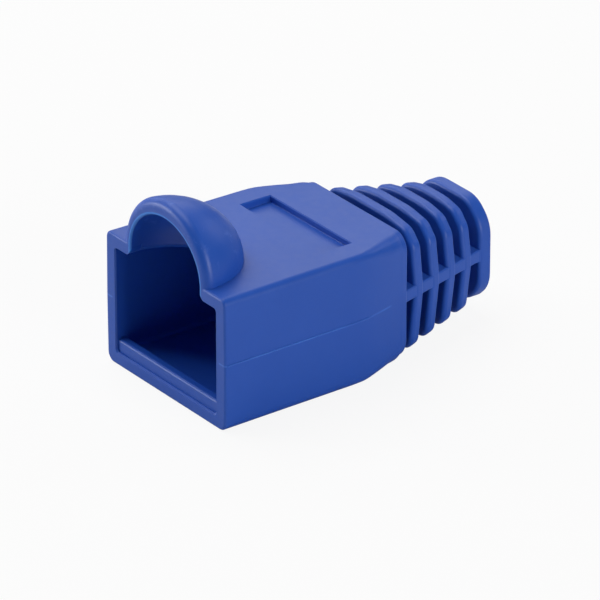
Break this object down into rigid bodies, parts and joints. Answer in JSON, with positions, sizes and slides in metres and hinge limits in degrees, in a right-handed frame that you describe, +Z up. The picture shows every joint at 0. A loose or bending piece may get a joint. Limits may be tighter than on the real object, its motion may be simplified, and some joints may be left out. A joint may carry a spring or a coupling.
{
  "type": "rj45 strain relief boot",
  "caption": "Soft slip-on boot for a modular data plug: a square plug pocket with an arched latch hood, tapering to a ribbed, slotted cable sleeve.",
  "frame": {"origin": "middle of the footprint, in the plane of the underside", "axes": "+Y from the open mouth to the cable end, +X across the width, +Z up through the latch hood"},
  "size_m": [0.014, 0.0252, 0.0146],
  "materials": {
    "soft_pvc": "satin moulded soft PVC, mid blue"
  },
  "bodies": {
    "root": {"boot": "soft_pvc"}
  },
  "joints": []
}
